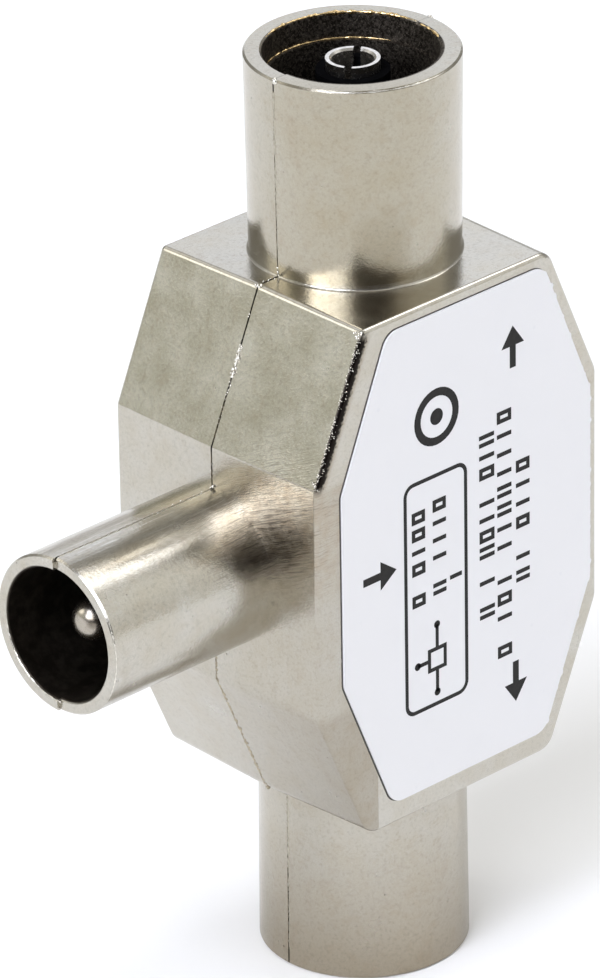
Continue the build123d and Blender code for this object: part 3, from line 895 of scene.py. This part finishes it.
def addCamera():
    view = photoCamera
    azimuth, elevation, roll = (radians(view[key]) for key in ("azimuth", "elevation", "roll"))
    back = Vector((sin(azimuth) * cos(elevation), -cos(azimuth) * cos(elevation), sin(elevation)))
    level = Vector((0, 0, 1)).cross(back).normalized()
    upright = back.cross(level)
    right = cos(roll) * level + sin(roll) * upright
    up = cos(roll) * upright - sin(roll) * level
    data = bpy.data.cameras.new("photoCamera")
    data.lens = view["focal"]
    data.sensor_width = view["sensor"]
    data.clip_start, data.clip_end = view["clip"]
    camera = bpy.data.objects.new("photoCamera", data)
    bpy.context.scene.collection.objects.link(camera)
    place = middle + back * view["distance"] + right * view["aside"] + up * view["above"]
    turn = Matrix((right, up, back)).transposed().to_4x4()
    camera.matrix_world = Matrix.Translation(place) @ turn
    bpy.context.scene.camera = camera


addCamera()


# Light and floor

studio = {
    "floor": (0.94, 0.94, 0.935), "floorRoughness": 0.9, "floorRadius": 1.6, "floorSegments": 64,
    "room": (0.375, 0.37, 0.355),
}
darkBand = {  # the dim side of the room, low on the left and in front
    "toward": (-0.814, -0.581, 0), "inner": 40, "outer": 54, "low": (-0.02, 0.05), "high": (0.18, 0.32),
    "color": (0.08, 0.077, 0.075),
}
roomPatches = {  # soft patches of the room that the metal mirrors: where, how bright, how wide in degrees
    "leftBack": {"toward": (-0.75, 0.65, 0.15), "color": (0.64, 0.655, 0.585), "inner": 14, "outer": 34},
    "highBack": {"toward": (-0.61, 0.645, 0.46), "color": (2.7, 2.65, 2.5), "inner": 8, "outer": 17},
    "topBack": {"toward": (0.62, 0.65, 0.45), "color": (1.28, 1.33, 1.46), "inner": 9, "outer": 22},
    "topMiddle": {"toward": (-0.065, 0.65, 0.76), "color": (1.1, 1.1, 1.08), "inner": 10, "outer": 22},
    "frontRight": {"toward": (0.14, -0.90, 0.40), "color": (1.0, 0.98, 0.95), "inner": 8, "outer": 26},
    "sideRoom": {"toward": (0.62, -0.64, 0.45), "color": (1.05, 1.05, 1.02), "inner": 15, "outer": 29},
    "horizonRight": {"toward": (0.62, -0.78, 0.08), "color": (0.90, 0.90, 0.88), "inner": 10, "outer": 24},
    "darkFront": {"toward": (-0.38, -0.88, 0.30), "color": (0.10, 0.095, 0.10), "inner": 18, "outer": 29},
    "lowBoxFront": {"toward": (-0.80, -0.42, 0.44), "color": (6.6, 6.8, 7.5), "inner": 6, "outer": 12},
    "lowBox": {"toward": (-0.89, -0.13, 0.43), "color": (7.6, 7.8, 8.6), "inner": 8, "outer": 14},
    "midBox": {"toward": (-0.56, -0.44, 0.70), "color": (2.6, 2.65, 2.8), "inner": 4, "outer": 9},
    "zenithBox": {"toward": (0.17, -0.07, 0.98), "color": (2.1, 2.1, 2.15), "inner": 5, "outer": 14},
    "highBox": {"toward": (-0.63, -0.12, 0.77), "color": (8.4, 8.8, 10.2), "inner": 8, "outer": 15},
    "overheadRight": {"toward": (0.62, -0.06, 0.78), "color": (3.8, 3.8, 3.9), "inner": 7, "outer": 17},
    "farRight": {"toward": (0.60, 0.78, 0.16), "color": (0.74, 0.74, 0.75), "inner": 5, "outer": 14},
}
lamps = {
    "keySun": {"toward": (-0.50, -0.05, 0.87), "strength": 0.10, "angle": 24},
    "fillSun": {"toward": (0.30, -0.88, 0.36), "strength": 0.10, "angle": 60},
}


def addLamp(name, lamp):
    data = bpy.data.lights.new(name, "SUN")
    data.energy = lamp["strength"]
    data.angle = radians(lamp["angle"])
    light = bpy.data.objects.new(name, data)
    bpy.context.scene.collection.objects.link(light)
    light.rotation_mode = "QUATERNION"
    light.rotation_quaternion = Vector(lamp["toward"]).to_track_quat("Z", "Y")
    light.visible_glossy = False  # the metal mirrors the room's patches instead


def addFloor():
    material, _, shader = newMaterial("paleFloor")
    shader.inputs["Base Color"].default_value = (*studio["floor"], 1)
    shader.inputs["Roughness"].default_value = studio["floorRoughness"]
    bm = bmesh.new()
    segments, radius = studio["floorSegments"], studio["floorRadius"]
    bmesh.ops.create_circle(bm, cap_ends=True, segments=segments, radius=radius)
    mesh = bpy.data.meshes.new("floor")
    bm.to_mesh(mesh)
    bm.free()
    floor = bpy.data.objects.new("floor", mesh)
    floor.data.materials.append(material)
    bpy.context.scene.collection.objects.link(floor)


def smoothStep(tree, value, low, high):
    edge = tree.nodes.new("ShaderNodeMapRange")
    edge.interpolation_type = "SMOOTHSTEP"
    edge.inputs["From Min"].default_value = low
    edge.inputs["From Max"].default_value = high
    link(tree, value, edge.inputs["Value"])
    return edge.outputs["Result"]


def facingMask(tree, direction, patch):
    facing = tree.nodes.new("ShaderNodeVectorMath")
    facing.operation = "DOT_PRODUCT"
    facing.inputs[1].default_value = Vector(patch["toward"]).normalized()
    link(tree, direction, facing.inputs[0])
    outer, inner = (cos(radians(patch[key])) for key in ("outer", "inner"))
    return smoothStep(tree, facing.outputs["Value"], outer, inner)


def addWorld():
    world = bpy.data.worlds.new("studio")
    world.use_nodes = True
    bpy.context.scene.world = world
    tree = world.node_tree
    background = next(n for n in tree.nodes if n.type == "BACKGROUND")
    direction = tree.nodes.new("ShaderNodeTexCoord").outputs["Generated"]
    height = splitPoint(tree, direction)[2]
    above = smoothStep(tree, height, *darkBand["low"])
    below = calculate(tree, "SUBTRACT", 1.0, smoothStep(tree, height, *darkBand["high"]))
    inBand = product(tree, above, below, facingMask(tree, direction, darkBand))
    color = blend(tree, inBand, studio["room"], darkBand["color"])
    for patch in roomPatches.values():
        color = blend(tree, facingMask(tree, direction, patch), color, patch["color"])
    link(tree, color, background.inputs["Color"])


for name, lamp in lamps.items():
    addLamp(name, lamp)
addFloor()
addWorld()
bpy.context.scene.view_settings.view_transform = "Standard"
print("camera, lamps and floor set")
